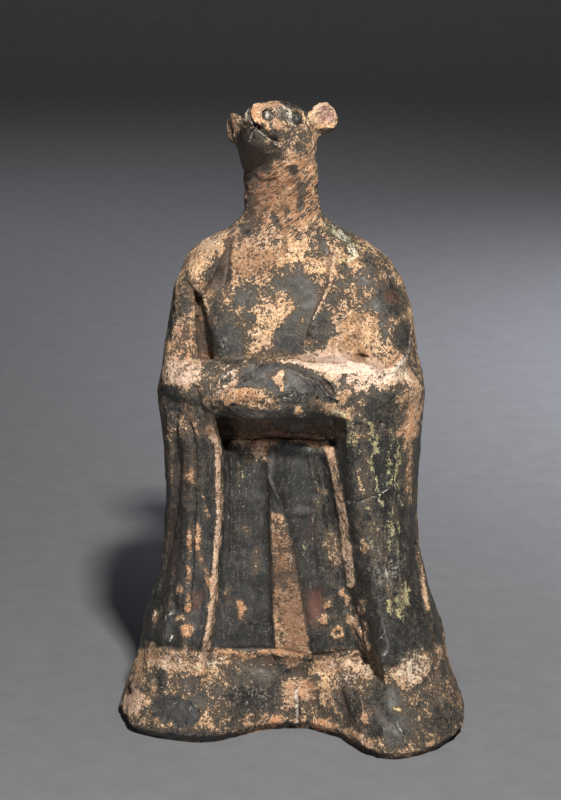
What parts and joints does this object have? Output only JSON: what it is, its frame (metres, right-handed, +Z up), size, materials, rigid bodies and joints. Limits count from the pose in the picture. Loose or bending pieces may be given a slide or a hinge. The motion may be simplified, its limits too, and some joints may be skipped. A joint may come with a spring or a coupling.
{
  "type": "chinese zodiac figure",
  "caption": "Standing earthenware tomb figure of a robed official with hands folded in long sleeves and the raised head of a round-eared animal.",
  "frame": {"origin": "middle of the flared hem's bounding box, on the surface the figure stands on", "axes": "+Z up the figure, -Y the way its chest and folded hands face, +X to the right of a viewer in front of it"},
  "size_m": [0.128, 0.0926, 0.2316],
  "materials": {
    "earthenware": "unglazed dark grey clay, matt to faintly burnished, with crusts of tan burial soil"
  },
  "bodies": {
    "root": {"zodiac_figure": "earthenware"}
  },
  "joints": []
}
